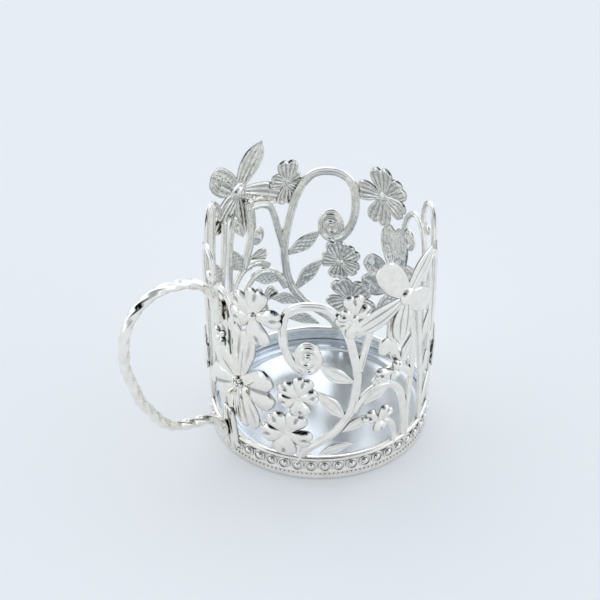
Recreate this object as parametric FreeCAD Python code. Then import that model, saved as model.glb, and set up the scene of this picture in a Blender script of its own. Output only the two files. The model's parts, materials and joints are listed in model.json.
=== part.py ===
"""Silver openwork cup holder: a beaded base band with a sheet-metal pan, a pierced wall of
flowers, leaves and scrolls in two equal halves, and a handle of twisted square wire.

Frame: millimetres, +Z up, origin at the centre of the base on the table. The handle points
along -X. Wall ornaments are drawn flat and rolled round the slightly flared wall. Their places
are (degrees, height): degrees run counter-clockwise from the seam under the handle.
"""
import FreeCAD
import Part
import math
import os

Vec = FreeCAD.Vector

# --- Driving dimensions -------------------------------------------------------------------
BASE_RADIUS = 33.0          # outside of the wall at the table
FLARE = 0.04                # growth of the wall's radius per millimetre of height
WALL = 1.6                  # thickness of wires, leaves and the large flower
RELIEF = 1.2                # thickness of the flowers that lie on the wall
JOINT_GAP = 0.3             # solder joint between the handle's feet and the wall
SIDE_RELIEF = 0.7           # thickness of the side blossom, which lies flatter
DRAWN_RADIUS = 34.4         # radius that the flat ornaments are drawn for

BAND_HEIGHT = 8.4
BEAD_RADIUS = 1.5
BEAD_HEIGHT = 5.0           # height of the bead row's centres
BEAD_COUNT = 50

PAN_THICKNESS = 1.0
PAN_FLOOR = 1.2             # underside of the pan above the table
PAN_DISH = 1.4              # rise of the pan from its middle to its rim

HANDLE_WIRE = 3.2           # across the flats of the square wire
HANDLE_REACH = 33.0         # from the wall to the wire's centre where it stands out furthest
HANDLE_TOP = 71.0           # heights of the finger loop's top and bottom
HANDLE_BOTTOM = 16.4
HANDLE_BEND = 16.0          # radius of the bends in the handle
HANDLE_UPPER_JOINT = 60.0   # height at which the upper end bends away from the wall
HANDLE_FOOT = 9.0           # length of each soldered foot

SCROLL_WIRE = 2.6
STEM_WIRE = 2.2
TENDRIL_WIRE = 1.8
FOOT_DEPTH = 4.0            # how far a stem is drawn down behind the band's edge

LILY_CENTRE = (98.5, 64.0)
HALVES = {"front": 0.0, "rear": 180.0}
ROLL_MIDDLE = 80.0          # degrees at the middle of a half, where the rolling is centred
SEAM_PLATE = "seam_plate"   # the only piece of the wall that isn't made twice
MINIMUM_SCRAP = 2.0         # smaller offcuts of a trimmed outline are dropped, mm2


# --- Flat drawing -------------------------------------------------------------------------
def flat(degrees, height):
    return Vec(math.radians(degrees) * DRAWN_RADIUS, height, 0)


def spline(points):
    curve = Part.BSplineCurve()
    curve.interpolate(points)
    return curve


def face_of(edges):
    """A flat face whose normal is +Z, whichever way its edges run."""
    face = Part.Face(Part.Wire(Part.__sortEdges__(edges)))
    if face.normalAt(0, 0).z < 0:
        face = Part.Face(Part.Wire([edge.reversed() for edge in reversed(face.OuterWire.OrderedEdges)]))
    return face


def wire_outline(route, width, end_width=None):
    """A wire or stem: a band of the given width along a smooth route, tapering to end_width."""
    end_width = width if end_width is None else end_width
    middle = spline([flat(*place) for place in route])
    steps = 3 * len(route)
    sides = ([], [])
    for i in range(steps + 1):
        t = middle.FirstParameter + (middle.LastParameter - middle.FirstParameter) * i / steps
        along = middle.tangent(t)[0]
        half = 0.5 * (width + (end_width - width) * i / steps)
        normal = Vec(-along.y, along.x, 0) * half
        sides[0].append(middle.value(t) + normal)
        sides[1].append(middle.value(t) - normal)
    left, right = (spline(side).toShape() for side in sides)
    ends = [Part.makeLine(sides[0][i], sides[1][i]) for i in (0, -1)]
    return face_of([left, right] + ends)


def leaf_outline(root, tip, width, bow=0.0):
    """A leaf, pointed at both ends, from root to tip; bow bends its spine to the left."""
    start, end = flat(*root), flat(*tip)
    along = end - start
    across = Vec(-along.y, along.x, 0).normalize()
    edges = []
    for side in (1, -1):
        bulge = [0.0, 0.62, 1.0, 0.66, 0.0]
        points = []
        for i, share in enumerate(bulge):
            t = i / (len(bulge) - 1)
            spine = start + along * t + across * (4 * bow * t * (1 - t))
            points.append(spine + across * (side * share * width / 2))
        edges.append(spline(points).toShape())
    return face_of(edges)


def disc_outline(centre, radius):
    middle = flat(*centre)
    curve = Part.Circle(middle, Vec(0, 0, 1), radius)
    halves = [Part.ArcOfCircle(curve, start, start + math.pi) for start in (0, math.pi)]
    return face_of([half.toShape() for half in halves])


def oval_outline(centre, half_width, half_height):
    """An upright oval."""
    middle = flat(*centre)
    top = middle + Vec(0, half_height, 0)
    curve = Part.Ellipse(top, middle + Vec(half_width, 0, 0), middle)
    halves = [Part.ArcOfEllipse(curve, start, start + math.pi) for start in (0, math.pi)]
    return face_of([half.toShape() for half in halves])


def petal_face(middle, direction, length, width, profile):
    """One petal from (share of its length, share of its half width) pairs, root to tip."""
    turn = math.radians(direction)
    along = Vec(math.cos(turn), math.sin(turn), 0)
    across = Vec(-along.y, along.x, 0)
    sides = []
    for side in (1, -1):
        sides.append([middle + along * (t * length) + across * (side * share * width / 2)
                      for t, share in profile])
    edges = [spline(points).toShape() for points in sides]
    edges.append(Part.makeLine(sides[0][0], sides[1][0]))
    return face_of(edges)


def flower_outline(centre, hub, petals, notch=0.07):
    """Rounded petals round a disc: (direction in degrees, length, width); notch is a share
    of a petal's length that the middle of its tip is drawn in by."""
    profile = [(0.02, 0.24), (0.30, 0.62), (0.58, 0.96), (0.80, 0.98), (0.96, 0.62),
               (1.0, 0.30), (1.0 - notch, 0.0)]
    return petals_round_disc(centre, hub, petals, profile)


def pointed_flower(centre, hub, petals):
    """Lance-shaped petals round a disc: (direction in degrees, length, width)."""
    profile = [(0.02, 0.24), (0.25, 0.70), (0.52, 1.0), (0.80, 0.72), (1.0, 0.0)]
    return petals_round_disc(centre, hub, petals, profile)


def petals_round_disc(centre, hub, petals, profile):
    middle = flat(*centre)
    blades = [petal_face(middle, *petal, profile) for petal in petals]
    return joined([disc_outline(centre, hub)] + blades)


def joined(faces):
    whole = faces[0].multiFuse(faces[1:]).removeSplitter()
    return max(whole.Faces, key=lambda face: face.Area)


def trimmed(outline, neighbours):
    """The outline less what its neighbours in the same layer already cover."""
    if not neighbours:
        return [outline]
    rest = outline.cut(list(neighbours))
    return [face for face in rest.Faces if face.Area > MINIMUM_SCRAP]


# --- Rolling the flat outlines round the wall ---------------------------------------------
def wall_radius(height, offset=0.0):
    return BASE_RADIUS + FLARE * height + offset


def wall_surface(offset):
    """The flared surface at a distance outside the wall's outer face."""
    cone = Part.Cone()
    cone.Radius = BASE_RADIUS + offset
    cone.SemiAngle = math.atan(FLARE)
    return cone


def rolled_edges(wire, surface):
    slant = 1 / math.cos(surface.SemiAngle)
    edges = []
    for edge in wire.OrderedEdges:
        piece = edge.toNurbs().Edges[0]
        curve = piece.Curve
        curve.segment(piece.FirstParameter, piece.LastParameter)
        if edge.Orientation == "Reversed":
            curve.reverse()
        rolled = Part.Geom2d.BSplineCurve2d()
        poles = [FreeCAD.Base.Vector2d(math.pi - math.radians(ROLL_MIDDLE) + p.x / DRAWN_RADIUS,
                                       p.y * slant) for p in curve.getPoles()]
        rolled.buildFromPolesMultsKnots(poles, curve.getMultiplicities(), curve.getKnots(), False,
                                        curve.Degree, curve.getWeights())
        edges.append(rolled.toShape(surface, curve.FirstParameter, curve.LastParameter))
    return edges


def rolled_solid(outline, inner, outer):
    """A flat outline as a plate on the wall, between two distances from its outer face."""
    wire = outline.OuterWire
    surfaces = [wall_surface(offset) for offset in (inner, outer)]
    rings = [rolled_edges(wire, surface) for surface in surfaces]
    faces = [Part.Face(surface, Part.Wire(ring)) for surface, ring in zip(surfaces, rings)]
    faces += [Part.makeRuledSurface(a, b) for a, b in zip(*rings)]
    shell = Part.makeShell(faces)
    shell.sewShape()
    solid = Part.Solid(shell)
    if solid.Volume < 0:
        solid.reverse()
    return solid


def placed(shapes, half):
    """Turns rolled solids from the middle of the rolling to their half of the wall."""
    turned = []
    for shape in shapes:
        copy = shape.copy()
        copy.rotate(Vec(0, 0, 0), Vec(0, 0, 1), ROLL_MIDDLE + HALVES[half])
        turned.append(copy)
    return turned


def button(centre, radius, offset):
    """A domed button that sits on the wall at a distance outside its outer face."""
    degrees, height = centre
    turn = math.radians(degrees - ROLL_MIDDLE) + math.pi
    reach = wall_radius(height, offset)
    ball = Part.makeSphere(radius, Vec(reach * math.cos(turn), reach * math.sin(turn), height))
    top = height + 2 * radius
    core = Part.makeCone(wall_radius(0, offset), wall_radius(top, offset), top)
    return ball.cut(core)


# --- Ornaments of one half of the wall ----------------------------------------------------
def wire_layer():
    """Name and outlines of everything in the wall's own thickness, the first ones on top."""
    scroll_route = [(42, 5), (47.8, 11), (55, 14.4), (61.1, 17.2), (66, 20.5), (70.1, 24.6),
                    (72.3, 28.9), (73.4, 33.8), (73.9, 38.7), (73.2, 42.6), (71.7, 46.9),
                    (70.1, 51.3), (67.7, 56.1), (64.9, 60.1), (61.1, 63.4), (57.3, 65.2),
                    (50.6, 66), (43.7, 65.2), (38.9, 62.8), (36.6, 58.9), (36.1, 54.6),
                    (36.6, 50.8), (38.5, 46.9), (40.8, 44.2), (43.7, 42.3), (47, 41.3)]
    coil = oval_outline((48.6, 46.8), 4.3, 6.1)
    scroll = joined([wire_outline(scroll_route, SCROLL_WIRE), coil])
    dogwood = flower_outline((9.5, 30), 3.2, [
        (85, 22, 11.4), (5, 13.4, 15.5), (282, 16.8, 10.4),
        (207, 14.6, 12), (140, 13, 11)])
    return [
        ("scroll", [scroll]),
        ("dogwood", [dogwood]),
        ("scroll_leaves", [
            leaf_outline((73.5, 36.2), (54, 44.6), 5.2, 0.8),
            leaf_outline((68.5, 22.2), (52.5, 34), 5.0, -0.4),
            leaf_outline((66, 17.6), (82.6, 21.8), 4.2, 0.6),
            leaf_outline((54.5, 9.3), (73, 12.6), 3.8, 0.8)]),
        ("lily_stems", [
            wire_outline([(103, 57), (104.9, 55), (107.5, 49.5), (109, 43), (109.6, 36), (109, 28),
                          (107.6, 20), (107, 14), (107, FOOT_DEPTH)], STEM_WIRE),
            wire_outline([(111.6, 58), (113.4, 50), (115.8, 41), (118.4, 31), (120.2, 21),
                          (121, 13), (121.2, FOOT_DEPTH)], STEM_WIRE)]),
        ("bud_stem", [joined([
            wire_outline([(93.4, 60), (92.6, 54.5), (92.6, 49), (94, 44.6), (96.6, 40),
                          (98, 36.4)], 3.0),
            oval_outline((89.4, 46.6), 2.7, 3.5)])]),
        ("hook_stem", [
            wire_outline([(74.6, 40), (77.4, 47.4), (79.4, 52.6), (81.3, 55.4), (85.4, 57),
                          (91.5, 57.4), (95, 57.6)], STEM_WIRE)]),
        ("stem_leaf", [leaf_outline((98.6, 36.2), (108.6, 47), 5.6, -0.8)]),
        ("crest_leaf", [
            wire_outline([(83, 34), (88, 36.2), (93, 36.8), (99, 36), (104, 33.6), (109, 29.6)],
                         2.4)]),
        ("band_leaf", [joined([
            wire_outline([(73, 24.6), (77, 29), (83, 32), (89, 32.4), (95, 30.6), (100, 27),
                          (103.2, 21.6), (105, 15), (105.4, 9), (105.4, FOOT_DEPTH)], 2.4),
            leaf_outline((75, 27.2), (93, 31), 5.6, 1.0)])]),
        ("tendril", [
            wire_outline([(86, 18.4), (92, 17.6), (96, 15), (97.8, 11), (97.4, 8),
                          (97, FOOT_DEPTH)], TENDRIL_WIRE)]),
        ("tall_loop", [
            joined([
                wire_outline([(150, FOOT_DEPTH), (150.4, 14), (151.6, 26), (152.6, 37),
                              (153, 46), (153, 54), (153.6, 60.4), (156.4, 66.4), (161.4, 69.8),
                              (166.4, 69.4), (169.8, 66), (170.4, 62.4), (168.2, 60.4),
                              (165.4, 60.2)], TENDRIL_WIRE),
                disc_outline((164.6, 60.4), 1.7)])]),
        ("small_arch", [
            wire_outline([(165.6, 26), (165.8, 36), (166.2, 46), (167.4, 53), (171, 57.8),
                          (178, 60.8), (183, 58.6), (186, 53.4), (186.6, 46)], TENDRIL_WIRE),
            oval_outline((181.6, 50.2), 2.8, 3.8)]),
        ("tall_arch", [
            wire_outline([(115.6, 62), (119, 66.4), (124.6, 68.6), (130, 66.6), (134, 61),
                          (136.4, 52), (137.4, 40), (137.8, 26), (138, 14),
                          (138, FOOT_DEPTH)], STEM_WIRE),
            wire_outline([(121.6, 67.6), (124.4, 58), (126.4, 49), (127.6, 40), (128.4, 30)],
                         STEM_WIRE)]),
        ("tall_leaf", [leaf_outline((157.6, 44), (146, 64.6), 6.4, 0.8)]),
        ("spray_leaves", [
            leaf_outline((116.6, 38), (127.6, 49), 5.6, -0.8),
            leaf_outline((119.2, 24), (137.6, 36), 6.4, -0.8),
            leaf_outline((120.8, 12), (138, 20.4), 5.6, -0.6),
            leaf_outline((151.2, 15.6), (165.8, 27.4), 5.6, -0.6)]),
    ]


def flower_layer():
    """Flowers that lie on the outside of the wall, the first ones on top."""
    return [
        ("primrose", [flower_outline((22, 59.6), 2.4, [
            (82, 10.2, 7.6), (140, 9.0, 7.4), (205, 8.6, 7.4),
            (280, 10.8, 8.0), (4, 8.8, 7.4)])]),
        ("mid_blossom", [flower_outline((44.2, 32.2), 1.8, [
            (75, 8.0, 6.4), (135, 7.0, 6.2), (205, 6.4, 6.0),
            (278, 6.8, 6.4), (10, 6.0, 6.0)])]),
        ("base_blossom", [flower_outline((38.5, 18.2), 2.2, [
            (62, 8.4, 7.4), (128, 8.2, 7.2), (198, 7.4, 7.0),
            (262, 9.0, 7.6), (338, 7.8, 7.0)])]),
        ("lily", [pointed_flower(LILY_CENTRE, 3.4, [
            (204, 20.0, 8.0), (265, 17.6, 7.4), (322, 15.0, 7.8)])]),
        ("rosette", [flower_outline((71, 61.8), 1.8, [
            (92, 8.4, 6.4), (152, 5.0, 5.4), (210, 5.6, 5.4),
            (274, 7.8, 6.2), (20, 5.6, 5.6)])]),
        ("small_flower", [flower_outline((93, 37.4), 1.4, [
            (175, 6.4, 4.6), (60, 3.6, 3.8), (290, 3.6, 3.8)])]),
        ("trefoil", [flower_outline((85, 20.6), 1.4, [
            (145, 5.2, 5.4), (42, 5.4, 5.6), (285, 4.6, 5.0)])]),
        ("side_blossom", [flower_outline((146, 26), 2.0, [
            (80, 7.4, 5.8), (150, 6.6, 5.6), (222, 6.8, 5.6),
            (295, 7.0, 5.8), (10, 6.8, 5.6)])]),
        ("lily_tips", [
            petal_face(flat(*LILY_CENTRE), 122, 17.4, 8.2, [
                (0.10, 0.50), (0.30, 0.80), (0.55, 1.0), (0.80, 0.90), (0.94, 0.56), (1.0, 0.0)]),
            petal_face(flat(*LILY_CENTRE), 47, 16.2, 7.8, [
                (0.10, 0.50), (0.30, 0.80), (0.55, 1.0), (0.82, 0.70), (1.0, 0.0)])]),
    ]


def seam_plate_outline():
    """The lobed plate behind the handle's feet, which closes the seam there."""
    profile = [(0.0, 0.50), (0.20, 0.80), (0.45, 1.0), (0.75, 0.86), (0.92, 0.50), (1.0, 0.0)]
    blunt = [(0.0, 0.50), (0.20, 0.80), (0.45, 1.0), (0.80, 0.94), (0.95, 0.60), (1.0, 0.0)]
    upper = petal_face(flat(-6, 40), 88, 19.4, 12.8, blunt)
    lower = petal_face(flat(-3.6, 37), 272, 26.0, 11.6, profile)
    return joined([oval_outline((-5.6, 38.4), 6.3, 6.6), upper, lower])


BUTTONS = {                 # place, radius and distance outside the wall's outer face
    "primrose_button": ((22, 59.6), 1.3, RELIEF),
    "dogwood_stamen": ((9.5, 30), 2.2, 0.0),
    "lily_button": (LILY_CENTRE, 2.8, RELIEF),
}


def band_outline():
    """The part of the wall's flat drawing that the base band covers."""
    left, right = -60.0, 240.0
    corners = [flat(left, 0), flat(right, 0), flat(right, BAND_HEIGHT), flat(left, BAND_HEIGHT)]
    return Part.Face(Part.makePolygon(corners + corners[:1]))


def wall_solids():
    """Solids of one half by node name, still at the middle of the rolling."""
    solids = {}
    copies = [Vec(turn * DRAWN_RADIUS, 0, 0) for turn in (-math.pi, math.pi)]
    covered = [band_outline()]
    for name, outlines in wire_layer():
        solids[name] = []
        for outline in outlines:
            for face in trimmed(outline, covered):
                solids[name].append(rolled_solid(face, -WALL, 0.0))
                covered.append(face)
                covered += [face.translated(copy) for copy in copies]
    solids[SEAM_PLATE] = [rolled_solid(face, -WALL, 0.0)
                          for face in trimmed(seam_plate_outline(), covered)]
    covered = []
    for name, outlines in flower_layer():
        thickness = SIDE_RELIEF if name == "side_blossom" else RELIEF
        solids[name] = []
        for outline in outlines:
            for face in trimmed(outline, covered):
                solids[name].append(rolled_solid(face, 0.0, thickness))
                covered.append(face)
                covered += [face.translated(copy) for copy in copies]
    for name, (centre, radius, offset) in BUTTONS.items():
        solids[name] = [button(centre, radius, offset)]
    return solids


# --- Base ---------------------------------------------------------------------------------
def revolved(profile):
    corners = [Vec(radius, 0, height) for radius, height in profile]
    face = Part.Face(Part.makePolygon(corners + corners[:1]))
    return face.revolve(Vec(0, 0, 0), Vec(0, 0, 1), 360)


def base_band():
    bore = BASE_RADIUS - WALL
    return revolved([(bore, 0), (wall_radius(0), 0), (wall_radius(BAND_HEIGHT), BAND_HEIGHT),
                     (bore, BAND_HEIGHT)])


def band_beads():
    beads = []
    for i in range(BEAD_COUNT):
        bead = button((0, BEAD_HEIGHT), BEAD_RADIUS, 0.0)
        bead.rotate(Vec(0, 0, 0), Vec(0, 0, 1), 360.0 * i / BEAD_COUNT)
        beads.append(bead)
    return beads


def base_pan():
    """A spun dish that is soldered into the band's bore."""
    rim = BASE_RADIUS - WALL
    under = PAN_FLOOR
    edge = under + PAN_DISH
    lower = Part.Arc(Vec(-rim, 0, edge), Vec(0, 0, under), Vec(rim, 0, edge))
    lower_half = Part.Arc(Vec(0, 0, under), lower.value(lower.parameter(
        Vec(rim / 2, 0, under + PAN_DISH / 4))), Vec(rim, 0, edge))
    bottom = lower_half.toShape()
    top = bottom.translated(Vec(0, 0, PAN_THICKNESS))
    side = Part.makeLine(Vec(rim, 0, edge), Vec(rim, 0, edge + PAN_THICKNESS))
    middle = Part.makeLine(Vec(0, 0, under), Vec(0, 0, under + PAN_THICKNESS))
    face = Part.Face(Part.Wire(Part.__sortEdges__([bottom, side, top, middle])))
    return face.revolve(Vec(0, 0, 0), Vec(0, 0, 1), 360)


# --- Handle -------------------------------------------------------------------------------
def rounded_path(corners, radius):
    """Straight runs joined by tangent arcs, in the plane of the corners."""
    edges = []
    start = corners[0]
    for before, corner, after in zip(corners, corners[1:], corners[2:]):
        back = (before - corner).normalize()
        ahead = (after - corner).normalize()
        half_turn = (math.pi - back.getAngle(ahead)) / 2
        room = 0.48 * min((before - corner).Length, (after - corner).Length)
        cut = min(radius * math.tan(half_turn), room)
        bend = cut / math.tan(half_turn)
        bisector = (back + ahead).normalize()
        centre = corner + bisector * math.hypot(bend, cut)
        first, last = corner + back * cut, corner + ahead * cut
        edges.append(Part.LineSegment(start, first).toShape())
        edges.append(Part.Arc(first, centre - bisector * bend, last).toShape())
        start = last
    edges.append(Part.LineSegment(start, corners[-1]).toShape())
    return Part.Wire(edges)


def handle():
    """Square wire from the wall, out round the finger loop and back to the band."""
    half = HANDLE_WIRE / 2

    def out(distance, height):
        return Vec(-wall_radius(height, JOINT_GAP + half + distance), 0, height)

    drop = HANDLE_TOP - HANDLE_BOTTOM
    corners = [
        out(0, HANDLE_UPPER_JOINT - HANDLE_FOOT),
        out(0, HANDLE_UPPER_JOINT),
        out(0.20 * HANDLE_REACH, HANDLE_TOP - 0.05 * drop),
        out(0.62 * HANDLE_REACH, HANDLE_TOP),
        out(0.97 * HANDLE_REACH, HANDLE_TOP - 0.13 * drop),
        out(HANDLE_REACH, HANDLE_BOTTOM + 0.58 * drop),
        out(0.86 * HANDLE_REACH, HANDLE_BOTTOM + 0.30 * drop),
        out(0.60 * HANDLE_REACH, HANDLE_BOTTOM + 0.04 * drop),
        out(0.30 * HANDLE_REACH, HANDLE_BOTTOM),
        out(0, HANDLE_BOTTOM - 1.5),
        out(0, HANDLE_BOTTOM - HANDLE_FOOT),
    ]
    path = rounded_path(corners, HANDLE_BEND)
    start = corners[0]
    ring = [start + Vec(x * half, y * half, 0) for x, y in ((1, 1), (-1, 1), (-1, -1), (1, -1))]
    section = Part.makePolygon(ring + ring[:1])
    return path.makePipeShell([section], True, False)


# --- Assembly -----------------------------------------------------------------------------
def export(name, shapes):
    shape = shapes[0] if len(shapes) == 1 else Part.makeCompound(shapes)
    shape.exportStep(f"parts/{name}.step")
    box = shape.BoundBox
    print(f"{name}: {len(shapes)} solids, {shape.Volume:.1f} mm3, valid {shape.isValid()}, "
          f"z {box.ZMin:.1f} to {box.ZMax:.1f}")


def main():
    os.makedirs("parts", exist_ok=True)
    export("base_band", [base_band()])
    export("band_beads", band_beads())
    export("base_pan", [base_pan()])
    export("handle", [handle()])
    solids = wall_solids()
    export(SEAM_PLATE, placed(solids.pop(SEAM_PLATE), "front"))
    for half in HALVES:
        for name, shapes in solids.items():
            export(f"{half}_{name}", placed(shapes, half))


main()
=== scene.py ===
# %% [markdown]
# # A silver openwork cup holder
# The real object is a cast and soldered holder for a votive or tea glass: a beaded base band with
# a spun pan, a wall of flowers, leaves and scrolls in two equal halves, and a handle of twisted
# square wire, all bright silver plate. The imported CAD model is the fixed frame. Each of its nodes
# gets a finished piece that stands for it, in the same place and of the same size.

# %% Load the frame
import bmesh
import bpy
import json
import math
import numpy as np
from mathutils import Matrix, Vector


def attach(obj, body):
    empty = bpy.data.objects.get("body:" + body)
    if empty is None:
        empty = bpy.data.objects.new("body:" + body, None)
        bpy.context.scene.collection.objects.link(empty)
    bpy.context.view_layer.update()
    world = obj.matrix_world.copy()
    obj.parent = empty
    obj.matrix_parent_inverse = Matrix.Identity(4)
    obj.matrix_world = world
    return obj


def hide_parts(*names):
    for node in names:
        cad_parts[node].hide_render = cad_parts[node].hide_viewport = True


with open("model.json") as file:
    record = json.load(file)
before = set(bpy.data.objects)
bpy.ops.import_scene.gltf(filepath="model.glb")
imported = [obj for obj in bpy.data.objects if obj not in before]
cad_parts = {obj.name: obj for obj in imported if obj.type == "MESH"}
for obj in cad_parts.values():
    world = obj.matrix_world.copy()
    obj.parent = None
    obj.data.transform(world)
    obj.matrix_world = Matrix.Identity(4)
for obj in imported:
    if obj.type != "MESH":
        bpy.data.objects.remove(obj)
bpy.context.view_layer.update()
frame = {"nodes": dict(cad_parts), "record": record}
print("nodes in the frame:", len(frame["nodes"]))

# %% [markdown]
# ## Where things go
# The ornaments are drawn flat, as a jeweller would before rolling the wall, and then wrapped
# round its slightly flared surface. A place is (degrees, height in millimetres): the degrees run
# counter-clockwise from the seam under the handle. These few numbers are the wall's own sizes.

# %% The wall's sizes and the wrapping
MM = 0.001
BASE_RADIUS = 33.0      # outside of the wall at the table, mm
FLARE = 0.04            # growth of the radius per millimetre of height
DRAWN_RADIUS = 34.4     # radius that the flat drawing is made for
DEGREE = 0.6            # one degree of the drawing in millimetres
WALL = 1.6              # thickness of the wires and leaves
RELIEF = 1.2            # thickness of the flowers that lie on the wall
SIDE_RELIEF = 0.7       # thickness of the side blossom, which lies flatter
HALVES = {"front": 0.0, "rear": math.pi}


def flat(degrees, height):
    """A place on the wall as a point of the flat drawing, in millimetres."""
    return np.array([math.radians(degrees) * DRAWN_RADIUS, height])


def wrap(x, y, offset):
    """Flat drawing and distance outside the wall, in mm, to points round the wall in metres."""
    radius = BASE_RADIUS + FLARE * y + offset
    angle = x / DRAWN_RADIUS + math.pi
    return np.stack([radius * np.cos(angle), radius * np.sin(angle), y], axis=-1) * MM


print("wall radius at half height:", BASE_RADIUS + FLARE * 35)

# %% [markdown]
# ## One helper for nodes
# Materials and Geometry Nodes trees are both node trees, so one small function adds a node to
# either: its settings, and its inputs, which are linked when the value is another node's socket.
# Geometry steps, arithmetic and colour mixes come up so often that each has a short form of it.

# %% Node and colour helpers


def add_node(tree, kind, settings=None, inputs=None):
    node = tree.nodes.new(kind)
    for name, value in (settings or {}).items():
        setattr(node, name, value)
    for key, value in (inputs or {}).items():
        if isinstance(value, bpy.types.NodeSocket):
            tree.links.new(value, node.inputs[key])
        else:
            node.inputs[key].default_value = value
    return node


def new_object(name, data):
    made = bpy.data.objects.new(name, data)
    bpy.context.scene.collection.objects.link(made)
    return made


def empty_tree(owner):
    """The node tree of a material or world, with nothing in it yet."""
    owner.use_nodes = True
    owner.node_tree.nodes.clear()
    return owner.node_tree


def geometry(tree, kind, settings=None, **inputs):
    """A step of a Geometry Nodes tree. An underscore in an input's name stands for a space."""
    named = {name.replace("_", " "): value for name, value in inputs.items()}
    return add_node(tree, "GeometryNode" + kind, settings, named).outputs[0]


def maths(tree, operation, *values):
    node = add_node(tree, "ShaderNodeMath", {"operation": operation}, dict(enumerate(values)))
    return node.outputs[0]


def vector_maths(tree, operation, *values):
    node = add_node(tree, "ShaderNodeVectorMath", {"operation": operation},
                    dict(enumerate(values)))
    return node.outputs["Value" if operation == "DOT_PRODUCT" else "Vector"]


def combine(tree, **axes):
    node = add_node(tree, "ShaderNodeCombineXYZ", inputs={k.upper(): v for k, v in axes.items()})
    return node.outputs[0]


def map_range(tree, value, low, high, to_low=0.0, to_high=1.0, **settings):
    return add_node(tree, "ShaderNodeMapRange", settings, {
        "Value": value, "From Min": low, "From Max": high, "To Min": to_low,
        "To Max": to_high}).outputs["Result"]


def mix_colour(tree, share, colour, other):
    return add_node(tree, "ShaderNodeMix", {"data_type": "RGBA"}, {
        "Factor": share, 6: colour, 7: other}).outputs[2]


def colour_ramp(tree, value, *stops):
    ramp = add_node(tree, "ShaderNodeValToRGB", inputs={"Fac": value})
    for element, (position, hex_colour) in zip(ramp.color_ramp.elements, stops):
        element.position = position
        element.color = linear(hex_colour)
    return ramp.outputs["Color"]


def linear(hex_colour):
    """An sRGB hex colour as linear RGBA."""
    parts = [int(hex_colour[i:i + 2], 16) / 255 for i in (1, 3, 5)]
    return tuple(c / 12.92 if c < 0.04045 else ((c + 0.055) / 1.055) ** 2.4 for c in parts) + (1.0,)


print("silver as linear colour:", [round(c, 3) for c in linear("#F2F0EA")])

# %% [markdown]
# ## Silver plate
# Bright silver plate over a casting is a nearly perfect mirror with a faint warm tone. What makes
# it look cast and not chromed is its surface: slow waves left by the wax and the polishing wheel
# and a fine orange peel. Grey painted shade, with a little tarnish where the wheel doesn't reach,
# darkens the colour in the recesses and along the rims that each blade carries as an attribute,
# and in crevices between pieces. The inside of the wall was only brushed, so its faces are paler,
# more even in gloss and slightly rippled. Noise scales and bump depths are in millimetres, so they
# hold at any distance.

# %% Silver plate material
# Painted shade, with a little tarnish: the greys mixed into the colour in recesses and along rims,
# on the inside faces, and in crevices.
SHADE_AND_TARNISH, INSIDE_SHADE_AND_TARNISH, CREVICE_SHADE_AND_TARNISH = "#63686B", "#6E7270", "#5E6366"
INSIDE_MOTTLE = "#DAD9D3"
INSIDE_ROUGHNESS = 0.08
RIPPLE_MM = 2.2         # size of the ripples on the inside
CREVICE_MM = 0.9        # how near the next surface has to be to make a crevice


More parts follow.
